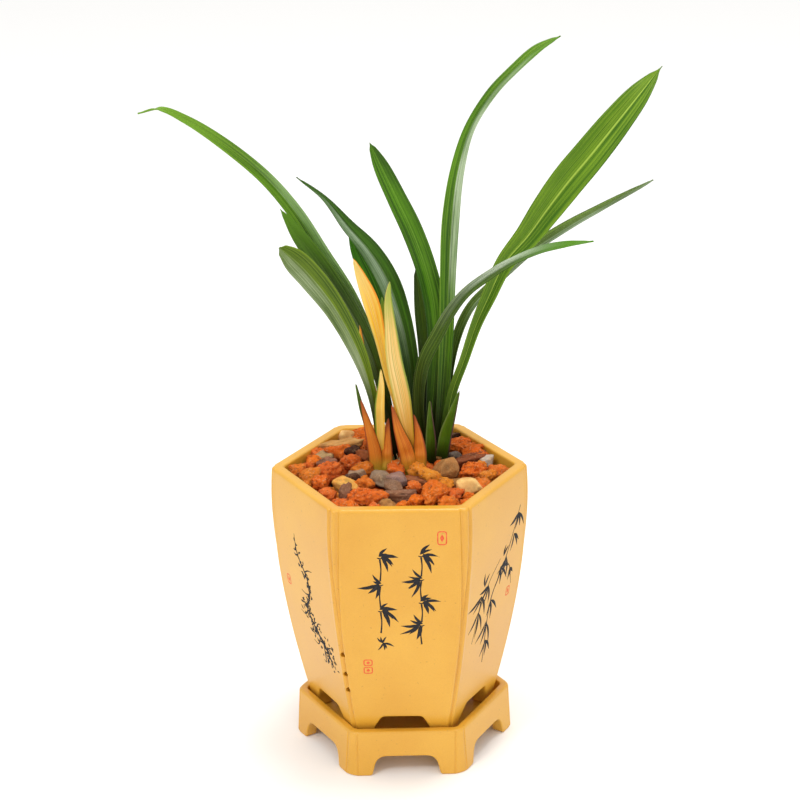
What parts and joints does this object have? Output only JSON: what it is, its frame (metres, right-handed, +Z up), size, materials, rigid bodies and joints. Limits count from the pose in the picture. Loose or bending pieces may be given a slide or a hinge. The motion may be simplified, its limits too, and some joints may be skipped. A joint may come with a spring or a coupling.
{
  "type": "potted orchid",
  "caption": "Small strap-leaved orchid with green leaves and yellow new shoots, in a six-sided tan clay pot on a footed clay saucer, filled with lava gravel",
  "frame": {"origin": "Middle of the base of the whole object's bounding box, on the surface it stands on", "axes": "+Z up, along the plant's height; +X to the right and -Y towards the viewer of the pot's main face"},
  "size_m": [0.2964, 0.1456, 0.4256],
  "materials": {
    "clay": "satin, unglazed tan clay",
    "lava": "rough, porous",
    "stone": "rough",
    "bark": "rough, weathered",
    "leaf": "smooth living leaf, waxy",
    "shoot": "smooth young leaf, waxy",
    "sheath": "dry papery leaf sheath",
    "root": "fleshy, matt"
  },
  "bodies": {
    "root": {"saucer": "clay", "pot": "clay", "gravel_bed": "lava", "pebble_cream": "stone", "pebble_tan": "stone", "pebble_tan_large": "stone", "pebble_grey_1": "stone", "pebble_grey_2": "stone", "pebble_grey_3": "stone", "pebble_grey_4": "stone", "lava_red_1": "lava", "lava_red_2": "lava", "lava_red_3": "lava", "lava_red_4": "lava", "lava_orange_1": "lava", "lava_orange_2": "lava", "bark_large": "bark", "bark_long": "bark", "bark_flat": "bark", "bark_tan": "bark", "bark_dark": "bark", "pseudobulb_1": "root", "pseudobulb_2": "root", "pseudobulb_3": "root", "pseudobulb_4": "root", "root_1": "root", "root_2": "root", "root_3": "root", "root_4": "root", "root_5": "root", "root_6": "root", "root_7": "root", "root_8": "root", "leaf_1": "leaf", "leaf_2": "leaf", "leaf_3": "leaf", "leaf_4": "leaf", "leaf_5": "leaf", "leaf_6": "leaf", "leaf_7": "leaf", "leaf_8": "leaf", "leaf_9": "leaf", "leaf_10": "leaf", "leaf_11": "leaf", "shoot_1": "shoot", "shoot_2": "shoot", "shoot_3": "shoot", "shoot_4": "shoot", "shoot_5": "shoot", "sheath_1": "sheath", "sheath_2": "sheath", "sheath_3": "sheath", "sheath_4": "sheath", "sheath_5": "sheath", "sheath_6": "sheath", "sheath_7": "sheath"}
  },
  "joints": []
}
